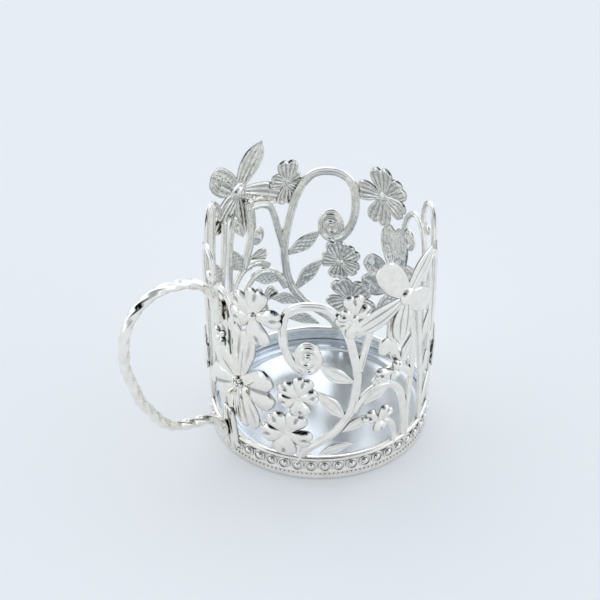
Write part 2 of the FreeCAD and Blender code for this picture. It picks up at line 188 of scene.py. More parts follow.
def silver_plate(name, colour, shade, roughness, wave_mm, wave_depth, grain_mm, grain_depth,
                 inside=None, ripple_depth=0.0):
    """Silver plate. inside is the tone of the faces that look towards the axis, and ripple_depth
    (mm) how uneven they are."""
    material = bpy.data.materials.new(name)
    tree = empty_tree(material)
    coords = add_node(tree, "ShaderNodeTexCoord")
    here = coords.outputs["Object"]

    def noise(size_mm):
        return add_node(tree, "ShaderNodeTexNoise", inputs={
            "Vector": here, "Scale": 1 / (size_mm * MM), "Detail": 1.0}).outputs["Fac"]

    def bump(height, strength, depth_mm, **under):
        return add_node(tree, "ShaderNodeBump", inputs={
            "Height": height, "Strength": strength, "Distance": depth_mm * MM,
            **under}).outputs["Normal"]

    wave, grain = noise(wave_mm), noise(grain_mm)
    polish = map_range(tree, grain, 0.3, 0.7, roughness * 0.8, roughness * 1.3)
    normal = bump(grain, 1.0, grain_depth, Normal=bump(wave, 1.0, wave_depth))
    # painted shade, with a little tarnish, from the blade's recess attribute
    recess = add_node(tree, "ShaderNodeAttribute", {"attribute_name": "recess"}).outputs["Fac"]
    tone = colour_ramp(tree, wave, (0.30, shade), (0.62, colour))
    tone = mix_colour(tree, recess, tone, linear(SHADE_AND_TARNISH))
    if inside:
        radial = vector_maths(tree, "NORMALIZE", vector_maths(tree, "MULTIPLY", here, (1, 1, 0)))
        facing = vector_maths(tree, "DOT_PRODUCT", radial, coords.outputs["Normal"])
        inner = map_range(tree, facing, -0.1, -0.6)
        ripple = add_node(tree, "ShaderNodeTexVoronoi", {"feature": "SMOOTH_F1"}, {
            "Vector": here, "Scale": 1 / (RIPPLE_MM * MM)}).outputs["Distance"]
        satin = mix_colour(tree, map_range(tree, ripple, 0.1, 0.6, 0.0, 0.4), linear(inside),
                           linear(INSIDE_MOTTLE))
        # the inside faces take their own painted shade, with a little tarnish, in the same recesses
        tone = mix_colour(tree, inner, tone,
                          mix_colour(tree, recess, satin, linear(INSIDE_SHADE_AND_TARNISH)))
        polish = add_node(tree, "ShaderNodeMix", {"data_type": "FLOAT"}, {
            "Factor": inner, 2: polish, 3: INSIDE_ROUGHNESS}).outputs[0]
        normal = bump(ripple, inner, ripple_depth, Normal=normal)
    # painted shade, with a little tarnish: the colour darkens where the occlusion test finds
    # another surface close by
    crevice = add_node(tree, "ShaderNodeAmbientOcclusion", {"samples": 6},
                       {"Distance": CREVICE_MM * MM})
    tone = mix_colour(tree, map_range(tree, crevice.outputs["AO"], 0.25, 0.70),
                      linear(CREVICE_SHADE_AND_TARNISH), tone)
    surface = add_node(tree, "ShaderNodeBsdfPrincipled", inputs={
        "Base Color": tone, "Metallic": 1.0, "Roughness": polish, "Normal": normal})
    add_node(tree, "ShaderNodeOutputMaterial", inputs={"Surface": surface.outputs["BSDF"]})
    return material


# name, tone, shade, roughness, size and depth of the waves and of the grain (mm), and for the
# pieces of the wall the tone and ripple depth (mm) of the inside
SILVER = {
    "wire_silver": silver_plate("cast_wire_silver_plate", "#FAF7F0", "#F2EEE6", 0.05,
                                3.0, 0.05, 0.8, 0.004, "#F8F6EF", 0.04),
    "flower_silver": silver_plate("embossed_silver_plate", "#FBF8F0", "#F3EFE7", 0.06,
                                  2.2, 0.08, 0.8, 0.008, "#FAF8F1", 0.30),
    "band_silver": silver_plate("band_silver_plate", "#F9F5EE", "#EEEAE2", 0.08,
                                3.0, 0.08, 0.8, 0.006, "#EEF2F5", 0.03),
    "handle_wire": silver_plate("drawn_wire_silver_plate", "#FAF7F0", "#F0ECE4", 0.05,
                                4.0, 0.05, 0.8, 0.003),
    "pan_plate": silver_plate("spun_pan_silver_plate", "#E6ECF3", "#DEE6EF", 0.17,
                              14.0, 0.02, 8.0, 0.002),
}
print("silver finishes:", len(SILVER))

# %% [markdown]
# ## Putting a piece in place
# A piece is a mesh at the origin with its place in its vertices. It rides on the holder's only
# body, stands for its CAD node and takes its finish from that node's slot. Both halves of the
# wall are the same casting turned half round, so one mesh serves twice, but for the lily's tips.

# %% Piece helpers
slot_of = {part["node"]: part["material_slot"] for part in frame["record"]["subparts"]}


def finish_piece(name, mesh, *nodes):
    slot = slot_of[nodes[0]]
    mesh.materials.clear()
    mesh.materials.append(SILVER[slot])
    for polygon in mesh.polygons:
        polygon.use_smooth = True
    piece = new_object(name, mesh)
    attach(piece, "root")
    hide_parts(*nodes)
    return piece


def mesh_of(name, shells):
    """One mesh of closed shells, each (points, faces) and, for a blade, the share of painted shade
    and tarnish in its recesses, and of painted shade along its rim, at each point. Doubles are
    merged and normals point out."""
    builder = bmesh.new()
    layer = builder.verts.layers.float.new("recess")
    for points, faces, *shade_and_tarnish in shells:
        verts = [builder.verts.new(p) for p in points]
        for vert, share in zip(verts, shade_and_tarnish[0] if shade_and_tarnish else ()):
            vert[layer] = share
        for face in faces:
            builder.faces.new([verts[i] for i in face])
    bmesh.ops.remove_doubles(builder, verts=builder.verts, dist=1e-7)
    bmesh.ops.dissolve_degenerate(builder, edges=builder.edges, dist=1e-8)
    bmesh.ops.recalc_face_normals(builder, faces=builder.faces)
    mesh = bpy.data.meshes.new(name)
    builder.to_mesh(mesh)
    builder.free()
    return mesh


def cast_half(half, node, mesh):
    """A piece of one half of the wall from a mesh for the front, turned about the axis."""
    mesh.transform(Matrix.Rotation(HALVES[half], 4, "Z"))
    finish_piece(f"{half}_{node}_cast", mesh, f"{half}_{node}")


def both_halves(node, shells):
    """The same mesh for the front piece and, turned half round, for the rear one."""
    mesh = mesh_of(node, shells)
    for half in HALVES:
        cast_half(half, node, mesh.copy())
    print(node, "faces:", len(mesh.polygons))


# %% [markdown]
# ## Running a tree on a start shape
# A Geometry Nodes tree makes everything that repeats or follows a path. The start shape is a
# mesh of points and edges, the tree's inputs are set by the sockets' identifiers, and the result
# is taken off as a plain mesh, so no modifier stays on the finished piece.

# %% Tree helpers


def new_tree(name, sizes):
    """A tree with a geometry input, a float input for each named size, and a material."""
    tree = bpy.data.node_groups.new(name, "GeometryNodeTree")
    tree.interface.new_socket("Geometry", in_out="INPUT", socket_type="NodeSocketGeometry")
    for size, value in sizes.items():
        kind = "NodeSocketInt" if isinstance(value, int) else "NodeSocketFloat"
        tree.interface.new_socket(size, in_out="INPUT", socket_type=kind).default_value = value
    tree.interface.new_socket("Material", in_out="INPUT", socket_type="NodeSocketMaterial")
    tree.interface.new_socket("Geometry", in_out="OUTPUT", socket_type="NodeSocketGeometry")
    return tree, tree.nodes.new("NodeGroupInput").outputs


def in_metres(tree, given, *sizes):
    """The named inputs, which are in millimetres, as sockets in metres."""
    return [maths(tree, "MULTIPLY", given[size], MM) for size in sizes]


def end_tree(tree, given, made):
    """Ends a tree in Realize Instances and Set Material."""
    real = geometry(tree, "RealizeInstances", Geometry=geometry(
        tree, "SetShadeSmooth", Geometry=made))
    painted = geometry(tree, "SetMaterial", Geometry=real, Material=given["Material"])
    add_node(tree, "NodeGroupOutput", inputs={"Geometry": painted})
    return tree


def run_tree(tree, name, points, edges, **values):
    start = bpy.data.meshes.new(name)
    start.from_pydata([tuple(p) for p in points], edges, [])
    maker = new_object(name, start)
    modifier = maker.modifiers.new("tree", "NODES")
    modifier.node_group = tree
    for item in tree.interface.items_tree:
        if item.in_out == "INPUT" and item.name in values:
            modifier[item.identifier] = values[item.name]
    graph = bpy.context.evaluated_depsgraph_get()
    mesh = bpy.data.meshes.new_from_object(maker.evaluated_get(graph), depsgraph=graph)
    maker.modifiers.clear()
    bpy.data.objects.remove(maker)
    bpy.data.meshes.remove(start)
    return mesh


def shells_of(mesh):
    points = [tuple(v.co) for v in mesh.vertices]
    return points, [tuple(p.vertices) for p in mesh.polygons]


# %% [markdown]
# ## Wires on the wall
# The scrolls and stems are cast wires, flat enough to lie in the wall and rounded on both faces,
# with a fine line down each side. They could be bevelled curves, but a tree keeps the section's
# flat side on the wall all the way: the route's points become a smooth curve, each point is moved
# onto the flared wall, the curve's normal is set to point away from the axis, and one section is
# swept along it, tapering towards the end.

# %% The wall wire tree
SWELLS = 6.0            # swells round the section of a wire


def wall_wire_tree():
    tree, given = new_tree("wall_wire", {
        "Width": 2.6, "End Width": 2.6, "Depth": WALL, "Offset": -WALL / 2, "Groove": 0.13,
        "Base Radius": BASE_RADIUS, "Flare": FLARE, "Step": 0.5, "Section Points": 28})
    curve = geometry(tree, "MeshToCurve", Mesh=given["Geometry"])
    bezier = geometry(tree, "CurveSplineType", {"spline_type": "BEZIER"}, Curve=curve)
    eased = geometry(tree, "CurveSetHandles", {"handle_type": "AUTO"}, Curve=bezier)
    even = geometry(tree, "ResampleCurve", {"mode": "LENGTH"}, Curve=eased,
                    Length=in_metres(tree, given, "Step")[0])

    # Each point goes to its own height's radius.
    axes = add_node(tree, "ShaderNodeSeparateXYZ",
                    inputs={0: geometry(tree, "InputPosition")}).outputs
    outward = vector_maths(tree, "NORMALIZE", combine(tree, x=axes[0], y=axes[1]))
    foot = maths(tree, "MULTIPLY", maths(tree, "ADD", given["Base Radius"], given["Offset"]), MM)
    radius = maths(tree, "MULTIPLY_ADD", axes[2], given["Flare"], foot)
    reach = add_node(tree, "ShaderNodeVectorMath", {"operation": "SCALE"},
                     {0: outward, "Scale": radius}).outputs[0]
    moved = geometry(tree, "SetPosition", Geometry=even,
                     Position=vector_maths(tree, "ADD", reach, combine(tree, z=axes[2])))
    facing = geometry(tree, "SetCurveNormal", {"mode": "FREE"}, Curve=moved, Normal=outward)
    along = add_node(tree, "GeometryNodeSplineParameter").outputs["Factor"]
    ratio = maths(tree, "DIVIDE", given["End Width"], given["Width"])
    tapered = geometry(tree, "SetCurveRadius", Curve=facing,
                       Radius=map_range(tree, along, 0.0, 1.0, 1.0, ratio))

    # The section is an ellipse that swells six times round, which leaves a line down each side.
    ring = geometry(tree, "CurvePrimitiveCircle", Resolution=given["Section Points"], Radius=1.0)
    spot = add_node(tree, "ShaderNodeSeparateXYZ",
                    inputs={0: geometry(tree, "InputPosition")}).outputs
    turn = maths(tree, "ARCTAN2", spot[1], spot[0])
    wave = maths(tree, "COSINE", maths(tree, "MULTIPLY", turn, SWELLS))
    swell = maths(tree, "MULTIPLY_ADD", wave, given["Groove"], 1.0)
    depth, width = [
        maths(tree, "MULTIPLY",
              maths(tree, "MULTIPLY", spot[axis], maths(tree, "MULTIPLY", given[size], MM / 2)),
              swell) for axis, size in ((0, "Depth"), (1, "Width"))]
    section = geometry(tree, "SetPosition", Geometry=ring,
                       Position=combine(tree, x=depth, y=width))
    return end_tree(tree, given, geometry(tree, "CurveToMesh", Curve=tapered,
                                          Profile_Curve=section, Fill_Caps=True))


WALL_WIRE = wall_wire_tree()


def wall_wire(route, width, end_width=None, **sizes):
    """A wire or stem along a route of (degrees, height) places."""
    drawn = np.array([flat(*place) for place in route])
    points = wrap(drawn[:, 0], drawn[:, 1], -WALL / 2)
    edges = [(i, i + 1) for i in range(len(points) - 1)]
    return shells_of(run_tree(WALL_WIRE, "wire", points, edges, **{
        "Width": width, "End Width": end_width or width, "Material": SILVER["wire_silver"],
        **sizes}))


print("wall wire tree nodes:", len(WALL_WIRE.nodes))

# %% [markdown]
# ## Petals and leaves
# Each petal or leaf is a cast blade: a closed shell whose outline is a few profile points, with a
# relief on its face and its back, and a rounded rim. It is made as rings of points
# from root to tip, over the face and back along the underside, which closes the shell by itself
# and lets the same function make every kind. The rings crowd at the rim, where the form turns.
# The same numbers tell where grey is painted into the colour: shade with a little tarnish in the
# hollows of the relief, and shade along the rim.

# %% The blade maker
HOLLOW_MM = 0.08        # depth below the neighbours at which a hollow holds its full painted shade and tarnish
# shares of painted shade, with a little tarnish, in hollows of the face and back, of painted shade
# along the rim, and the most of all together
FACE_SHADE_AND_TARNISH, BACK_SHADE_AND_TARNISH, RIM_PAINTED_SHADE, MOST_SHADE_AND_TARNISH = 0.60, 0.50, 0.60, 0.8


def smooth_profile(pairs):
    """A smooth function through (share, value) pairs."""
    knots = np.array([p[0] for p in pairs])
    values = np.array([p[1] for p in pairs])
    slopes = np.gradient(values, knots)

    def at(x):
        x = np.clip(x, knots[0], knots[-1])
        i = np.clip(np.searchsorted(knots, x) - 1, 0, len(knots) - 2)
        gap = knots[i + 1] - knots[i]
        t = (x - knots[i]) / gap
        return ((2 * t**3 - 3 * t**2 + 1) * values[i] + (t**3 - 2 * t**2 + t) * gap * slopes[i]
                + (3 * t**2 - 2 * t**3) * values[i + 1] + (t**3 - t**2) * gap * slopes[i + 1])
    return at


def blade(root, tip, width, side, reach, middle, thickness, face, back, bow=0.0, pinched=False,
          rows=26, columns=32):
    """A blade from root to tip (flat mm). side(t) is the share of the half width along it, and
    reach(s) the share of the length across it. face and back (t, s) are the relief in mm."""
    p = np.linspace(0, 1, rows + 1)
    t = 0.5 - 0.5 * np.cos(np.pi * p) if pinched else np.sin(p * np.pi / 2)
    q = np.linspace(-1, 1, columns + 1)
    top = np.sin(q * np.pi / 2)
    s = np.concatenate([top, top[-2:0:-1]])
    is_face = np.concatenate([np.ones(columns + 1), -np.ones(columns - 1)])
    along_vec = np.array(tip) - np.array(root)
    length = np.hypot(*along_vec)
    along_vec = along_vec / length
    across_vec = np.array([-along_vec[1], along_vec[0]])
    T, S = np.meshgrid(t, s, indexing="ij")
    spine = length * T * reach(np.abs(S))
    across = 0.5 * width * S * side(T) + 4 * bow * T * (1 - T)
    x = root[0] + spine * along_vec[0] + across * across_vec[0]
    y = root[1] + spine * along_vec[1] + across * across_vec[1]
    close = np.sqrt(np.clip(1 - np.abs(S)**6, 0, 1)) * np.sqrt(np.clip(1 - T**14, 0, 1))
    if pinched:
        close = close * np.sqrt(np.clip(1 - (1 - T)**14, 0, 1))
    relief = np.where(is_face > 0, face(T, S), -back(T, S))
    offset = middle + close * (is_face * thickness / 2 + relief)
    points = wrap(x, y, offset).reshape(-1, 3)
    # Painted shade, with a little tarnish, where the relief lies below its neighbours, and painted
    # shade along the rim and tip.
    height = relief * is_face
    around = sum(np.roll(height, k, axis=1) for k in (-3, -2, -1, 1, 2, 3)) / 6
    hollow = np.clip((around - height) / HOLLOW_MM - 0.35, 0, 1)
    rim = np.clip((np.abs(S) - 0.93) / 0.06, 0, 1) + np.clip((T - 0.965) / 0.035, 0, 1)
    share = np.where(is_face > 0, FACE_SHADE_AND_TARNISH, BACK_SHADE_AND_TARNISH)
    shade_and_tarnish = np.clip(share * hollow + RIM_PAINTED_SHADE * rim, 0, MOST_SHADE_AND_TARNISH).ravel()
    ring = len(s)
    faces = [(i * ring + j, i * ring + (j + 1) % ring, (i + 1) * ring + (j + 1) % ring,
              (i + 1) * ring + j) for i in range(rows) for j in range(ring)]
    if not pinched:
        faces.append(tuple(range(ring))[::-1])
    return points, faces, shade_and_tarnish


LEAF_SIDE = smooth_profile([(0, 0.0), (0.25, 0.62), (0.5, 1.0), (0.75, 0.66), (1, 0.0)])
PETAL_SIDE = smooth_profile([(0, 0.22), (0.385, 0.62), (0.744, 0.96), (1, 1.0)])
PETAL_REACH = smooth_profile([(0, 0.93), (0.30, 1.0), (0.62, 0.96), (0.9, 0.86), (1, 0.78)])
HEART_REACH = smooth_profile([(0, 0.84), (0.32, 0.99), (0.62, 0.97), (0.9, 0.86), (1, 0.78)])
LANCE_SIDE = smooth_profile([(0.0, 0.20), (0.25, 0.70), (0.52, 1.0), (0.80, 0.72), (1, 0.0)])
TIP_SIDE = smooth_profile([(0.0, 0.30), (0.10, 0.50), (0.30, 0.80), (0.55, 1.0), (0.82, 0.70),
                           (1.0, 0.0)])
ROUND_SIDE = smooth_profile([(0.0, 0.30), (0.12, 0.60), (0.30, 0.90), (0.55, 1.0), (0.80, 0.88),
                             (0.94, 0.54), (1.0, 0.0)])
SEAM_SIDE = smooth_profile([(0.0, 0.50), (0.20, 0.80), (0.45, 1.0), (0.75, 0.86), (0.92, 0.50),
                            (1.0, 0.0)])


def straight_reach(s):
    return np.ones_like(s)


def hump(x, centre, spread):
    return np.exp(-((x - centre) / spread)**2)


print("leaf outline at a third of its length:", round(float(LEAF_SIDE(np.array(1 / 3))), 2))

# %% [markdown]
# ### Reliefs
# What the chaser did to each kind of blade, as heights in millimetres over the plain casting, for
# a share t along it and a share s across it. A small petal is a puffed cushion with a dimple near
# its tip. The dogwood's are fluted, or lobed like a heart. The lily's have two long lines or a
# dome, and the leaves a rim and a vein. The backs show on the inside of the wall: creased hollows
# in small petals, ribs in the lily and grains in the leaves.

# %% Relief functions


def rim(t, s, height, centre, spread):
    """A raised line beside each edge, which runs out at the root and the tip."""
    return height * hump(np.abs(s), centre, spread) * np.sin(np.pi * t)**0.5


def puffed(t, s):
    crown = 1.05 * (1 - np.abs(s)**3) * np.sin(np.pi * np.clip(t, 0, 1)**1.4)**0.7
    dimple = 0.62 * np.exp(-(s / 0.34)**2 - ((t - 0.76) / 0.13)**2)
    crease = 0.06 * hump(s, 0, 0.14) * hump(t, 0.30, 0.25)
    ruffle = 0.05 * np.cos(5 * np.pi * s) * hump(t, 0.93, 0.10)
    return crown - dimple - crease - ruffle


def pressed(t, s):
    return 0.35 * puffed(t, s)


def fluted(t, s):
    crown = 0.60 * (1 - s**2) * np.sin(np.pi * np.clip(t, 0, 1)**1.1)
    flutes = 0.16 * np.cos(3 * np.pi * s) * hump(t, 0.66, 0.30)
    nick = 0.30 * hump(s, -0.34, 0.07) * hump(t, 0.45, 0.28)
    lip = 0.20 * hump(t, 0.92, 0.07)
    return crown - flutes - nick + lip


def heart(t, s):
    lobes = 0.95 * np.sin(np.pi * np.clip(np.abs(s), 0, 1))**0.9 * hump(t, 0.66, 0.36)
    lip = 0.22 * hump(t, 0.93, 0.06)
    return lobes + 0.25 * (1 - s**2) * t + lip


def lanced(t, s):
    swell = 0.42 * (1 - s**4) * np.sin(np.pi * np.clip(t, 0, 1))**0.4
    lines = 0.42 * hump(np.abs(s), 0.36, 0.09) * hump(t, 0.42, 0.34)
    return swell - lines - 0.05


def domed(t, s):
    return 0.55 * (1 - s**4) * np.sin(np.pi * t)**0.5 + 0.18 * hump(np.abs(s), 0.80, 0.10)


def streaked(t, s):
    swell = 0.36 * (1 - s**4) * np.sin(np.pi * np.clip(t, 0, 1)**0.8)**0.5
    folds = 0.10 * np.cos(7 * s + 3 * t) + 0.08 * np.cos(13 * s - 9 * t + 1.0)
    return swell + folds


def leafed(t, s):
    return rim(t, s, 0.26, 0.80, 0.18) + 0.13 * hump(s, 0, 0.20) * (1 - t) - 0.15


def pebbled(t, s):
    grains = 0.16 * np.cos(13 * np.pi * t) * np.cos(3 * np.pi * s) * (np.abs(s) < 0.83)
    return rim(t, s, 0.30, 0.86, 0.12) + grains - 0.16


def ridged(t, s):
    ribs = 0.36 * (hump(s, 0.12, 0.12) + 0.7 * hump(s, -0.36, 0.10)) * (1 - 0.5 * t)
    return rim(t, s, 0.34, 0.84, 0.13) + ribs - 0.10


def crumpled(t, s):
    """The inside of a small petal: a raised rim round a creased hollow."""
    edge = 0.28 * hump(np.abs(s), 0.84, 0.13) + 0.28 * hump(t, 0.90, 0.07)
    creases = 0.16 * np.cos(4 * np.pi * s) * hump(t, 0.55, 0.30)
    return edge + creases - 0.10


def plain_back(t, s):
    ribs = 0.07 * np.cos(9 * np.pi * s) * hump(t, 0.75, 0.22)
    return 0.25 * (1 - s**2) * np.sin(np.pi * t) + ribs


def hollow_back(t, s):
    lobes = 0.55 * np.sin(np.pi * np.clip(np.abs(s), 0, 1))**0.9 * hump(t, 0.62, 0.30)
    return 0.22 * hump(t, 0.93, 0.08) + 0.15 * hump(s, 0, 0.25) - lobes


def leaf(root, tip, width, bow=0.0):
    return blade(flat(*root), flat(*tip), width, LEAF_SIDE, straight_reach, -WALL / 2, 1.1,
                 leafed, pebbled, bow=bow, pinched=True, rows=40)


def petal(centre, direction, length, width, side, reach, face, back, middle, thickness, **more):
    root = flat(*centre)
    turn = math.radians(direction)
    tip = root + length * np.array([math.cos(turn), math.sin(turn)])
    return blade(root, tip, width, side, reach, middle, thickness, face, back, **more)


print("a petal crown rises", round(float(puffed(np.array(0.6), np.array(0.5))), 2), "mm")

# %% [markdown]
# ### Bosses
# A flower's middle is a boss: a dome on the outside, and a flatter one that shows on the inside
# of the wall. It is a turned form, pressed onto the wall's curve by the same wrapping.

# %% The boss maker


def boss(centre, radius, middle, rise, drop, power=2.2, squash=1.0, rings=8, spokes=24):
    """A lens-shaped boss: rise mm outwards and drop mm inwards from its middle."""
    cx, cy = flat(*centre)
    points, faces = [], []
    turns = np.linspace(0, 2 * np.pi, spokes, endpoint=False)
    shares = np.sin(np.linspace(0, 1, rings + 1)[1:] * np.pi / 2)
    for sign, height in ((1, rise), (-1, drop)):
        start = len(points)
        points.append(wrap(np.array(cx), np.array(cy), middle + sign * height))
        for share in shares:
            bulge = sign * height * (1 - share**power) ** (1 / power)
            for turn in turns:
                points.append(wrap(np.array(cx + radius * share * math.cos(turn)),
                                   np.array(cy + radius * squash * share * math.sin(turn)),
                                   middle + bulge))
        for j in range(spokes):
            k = (j + 1) % spokes
            faces.append((start, start + 1 + j, start + 1 + k))
            for i in range(rings - 1):
                a = start + 1 + i * spokes
                faces.append((a + j, a + spokes + j, a + spokes + k, a + k))
    return points, faces


print("boss points:", len(boss((0, 30), 2, 0, 1, 1)[0]))

# %% [markdown]
# ## The scroll
# The large scroll springs from the base band, sweeps up and round, and ends in a coil. The coil
# is its own wire that goes on turning inwards, over a small plate, with a grain in its eye.

# %% Scroll
SCROLL_ROUTE = [(42, 5), (47.8, 11), (55, 14.4), (61.1, 17.2), (66, 20.5), (70.1, 24.6),
                (72.3, 28.9), (73.4, 33.8), (73.9, 38.7), (73.2, 42.6), (71.7, 46.9),
                (70.1, 51.3), (67.7, 56.1), (64.9, 60.1), (61.1, 63.4), (57.3, 65.2),
                (50.6, 66), (43.7, 65.2), (38.9, 62.8), (36.6, 58.9), (36.1, 54.6),
                (36.6, 50.8), (38.5, 46.9), (40.8, 44.2), (43.7, 42.3), (47, 41.3)]
COIL_CENTRE = (48.6, 46.8)
COIL_SIZE = (4.3, 6.1)      # half width and half height, mm


def coil_route(turns=1.6, points=22):
    """The inner end of the scroll: a spiral from the wire's end to the eye."""
    route = []
    for i in range(points):
        share = i / (points - 1)
        angle = -math.pi / 2 + share * turns * 2 * math.pi
        shrink = 0.86 * (1 - 0.80 * share)
        route.append((COIL_CENTRE[0] + COIL_SIZE[0] / DEGREE * shrink * math.cos(angle),
                      COIL_CENTRE[1] + COIL_SIZE[1] * shrink * math.sin(angle)))
    return route


scroll_shells = [
    wall_wire(SCROLL_ROUTE, 2.6),
    wall_wire(coil_route(), 2.2, 1.2, Step=0.35, Depth=2.2),
    boss(COIL_CENTRE, 4.0, -WALL / 2, 0.55, 0.55, power=6.0,
         squash=COIL_SIZE[1] / COIL_SIZE[0] * 0.98),
    boss(COIL_CENTRE, 1.1, -WALL / 2, 1.3, 1.1)]
both_halves("scroll", scroll_shells)

# %% [markdown]
# ## Stems, arches and tendrils
# The lighter wires: lily stems, the hooked stem, a bud stem, the two arches and the loop beside
# the handle. Those that reach the base band run down behind its edge, where they are soldered.

# %% Stems
STEM, TENDRIL, FOOT = 2.2, 1.8, 4.0
STEMS = {
    "lily_stems": [
        ([(103, 57), (104.9, 55), (107.5, 49.5), (109, 43), (109.6, 36), (109, 28), (107.6, 20),
          (107, 14), (107, FOOT)], STEM),
        ([(111.6, 58), (113.4, 50), (115.8, 41), (118.4, 31), (120.2, 21), (121, 13),
          (121.2, FOOT)], STEM)],
    "hook_stem": [
        ([(74.6, 40), (77.4, 47.4), (79.4, 52.6), (81.3, 55.4), (85.4, 57), (91.5, 57.4),
          (95, 57.6)], STEM)],
    "bud_stem": [
        ([(93.4, 60), (92.6, 54.5), (92.6, 49), (94, 44.6), (96.6, 40), (98, 36.4)], 3.0)],
    "crest_leaf": [
        ([(83, 34), (88, 36.2), (93, 36.8), (99, 36), (104, 33.6), (109, 29.6)], 2.4)],
    "band_leaf": [
        ([(73, 24.6), (77, 29), (83, 32), (89, 32.4), (95, 30.6), (100, 27), (103.2, 21.6),
          (105, 15), (105.4, 9), (105.4, FOOT)], 2.4)],
    "tendril": [
        ([(86, 18.4), (92, 17.6), (96, 15), (97.8, 11), (97.4, 8), (97, FOOT)], TENDRIL)],
    "tall_loop": [
        ([(150, FOOT), (150.4, 14), (151.6, 26), (152.6, 37), (153, 46), (153, 54), (153.6, 60.4),
          (156.4, 66.4), (161.4, 69.8), (166.4, 69.4), (169.8, 66), (170.4, 62.4), (168.2, 60.4),
          (165.4, 60.2)], TENDRIL)],
    "small_arch": [
        ([(165.6, 26), (165.8, 36), (166.2, 46), (167.4, 53), (171, 57.8), (178, 60.8),
          (183, 58.6), (186, 53.4), (186.6, 46)], TENDRIL)],
    "tall_arch": [
        ([(115.6, 62), (119, 66.4), (124.6, 68.6), (130, 66.6), (134, 61), (136.4, 52),
          (137.4, 40), (137.8, 26), (138, 14), (138, FOOT)], STEM),
        ([(121.6, 67.6), (124.4, 58), (126.4, 49), (127.6, 40), (128.4, 30)], STEM)],
}
BUDS = {"bud_stem": ((89.4, 46.6), 2.7, 3.5), "small_arch": ((181.6, 50.2), 2.8, 3.8),
        "tall_loop": ((164.6, 60.4), 1.7, 1.7)}
for node, wires in STEMS.items():
    shells = [wall_wire(route, width) for route, width in wires]
    if node in BUDS:
        centre, half_width, half_height = BUDS[node]
        shells.append(boss(centre, half_width, -WALL / 2, 1.1, 0.9,
                           squash=half_height / half_width))
    if node == "band_leaf":
        shells.append(leaf((75, 27.2), (93, 31), 5.6, 1.0))
    both_halves(node, shells)

# %% [markdown]
# ## Leaves
# Slim leaves on the scroll, on the lily stems and beside the arches. Each is a blade that is
# pinched at both ends and bowed a little, so it needs only two places and a width.

# %% Leaves
LEAVES = {
    "scroll_leaves": [((73.5, 36.2), (54, 44.6), 5.2, 0.8), ((68.5, 22.2), (52.5, 34), 5.0, -0.4),
                      ((66, 17.6), (82.6, 21.8), 4.2, 0.6), ((54.5, 9.3), (73, 12.6), 3.8, 0.8)],
    "stem_leaf": [((98.6, 36.2), (108.6, 47), 5.6, -0.8)],
    "tall_leaf": [((157.6, 44), (146, 64.6), 6.4, 0.8)],
    "spray_leaves": [((116.6, 38), (127.6, 49), 5.6, -0.8), ((119.2, 24), (137.6, 36), 6.4, -0.8),
                     ((120.8, 12), (138, 20.4), 5.6, -0.6),
                     ((151.2, 15.6), (165.8, 27.4), 5.6, -0.6)],
}
for node, drawn in LEAVES.items():
    both_halves(node, [leaf(*one) for one in drawn])

# %% [markdown]
# ## Flowers
# The small flowers have three to five puffed petals round a boss. They were cast apart and lie on
# the wires, so every second petal stands a little higher, which keeps their edges crisp.

# %% Flowers
FLOWERS = {
    "primrose": ((22, 59.6), 2.4, [(82, 10.2, 7.6), (140, 9.0, 7.4), (205, 8.6, 7.4),
                                   (280, 10.8, 8.0), (4, 8.8, 7.4)]),
    "mid_blossom": ((44.2, 32.2), 1.8, [(75, 8.0, 6.4), (135, 7.0, 6.2), (205, 6.4, 6.0),
                                        (278, 6.8, 6.4), (10, 6.0, 6.0)]),
    "base_blossom": ((38.5, 18.2), 2.2, [(62, 8.4, 7.4), (128, 8.2, 7.2), (197, 8.8, 7.2),
                                         (262, 9.0, 7.6), (338, 7.8, 7.0)]),
    "rosette": ((71, 61.8), 1.8, [(92, 8.4, 6.4), (152, 5.0, 5.4), (210, 5.6, 5.4),
                                  (274, 7.8, 6.2), (20, 5.6, 5.6)]),
    "small_flower": ((93, 37.4), 1.4, [(175, 6.4, 4.6), (60, 3.6, 3.8), (290, 3.6, 3.8)]),
    "trefoil": ((85, 20.6), 1.4, [(145, 5.2, 5.4), (42, 5.4, 5.6), (285, 4.6, 5.0)]),
    "side_blossom": ((146, 26), 2.0, [(80, 7.4, 5.8), (150, 6.6, 5.6), (222, 6.8, 5.6),
                                      (295, 7.0, 5.8), (10, 6.8, 5.6)]),
}
SUNK = {"rosette": 0.5}     # mm that a flower lies lower than the others
STAGGER = 0.22              # how much higher every second petal stands, as a share of the relief
for node, (centre, hub, petals) in FLOWERS.items():
    depth, face = (SIDE_RELIEF, pressed) if node == "side_blossom" else (RELIEF, puffed)
    shells = [petal(centre, *one, PETAL_SIDE, PETAL_REACH, face, crumpled,
                    depth * (0.5 + STAGGER * (i % 2)) - SUNK.get(node, 0), 0.75 * depth)
              for i, one in enumerate(petals)]
    shells.append(boss(centre, hub * 0.75, depth / 2, 0.85 * depth, 0.6 * depth))
    both_halves(node, shells)

# %% [markdown]
# The dogwood's broad petals, fluted or lobed, lie in the wall's own thickness.

# %% Dogwood
DOGWOOD = (9.5, 30)
FLUTED = (PETAL_SIDE, PETAL_REACH, fluted, plain_back)
LOBED = (PETAL_SIDE, HEART_REACH, heart, hollow_back)
dogwood_petals = [(85, 22, 11.4, FLUTED), (5, 13.4, 15.5, LOBED), (282, 16.8, 10.4, FLUTED),
                  (207, 14.6, 12, LOBED), (140, 13, 11, LOBED)]
shells = [petal(DOGWOOD, *place, *form, -WALL / 2 + 0.35 * (i % 2), 1.1, rows=30, columns=44)
          for i, (*place, form) in enumerate(dogwood_petals)]
shells.append(boss(DOGWOOD, 3.0, -WALL / 2, 0.8, 0.8))
both_halves("dogwood", shells)

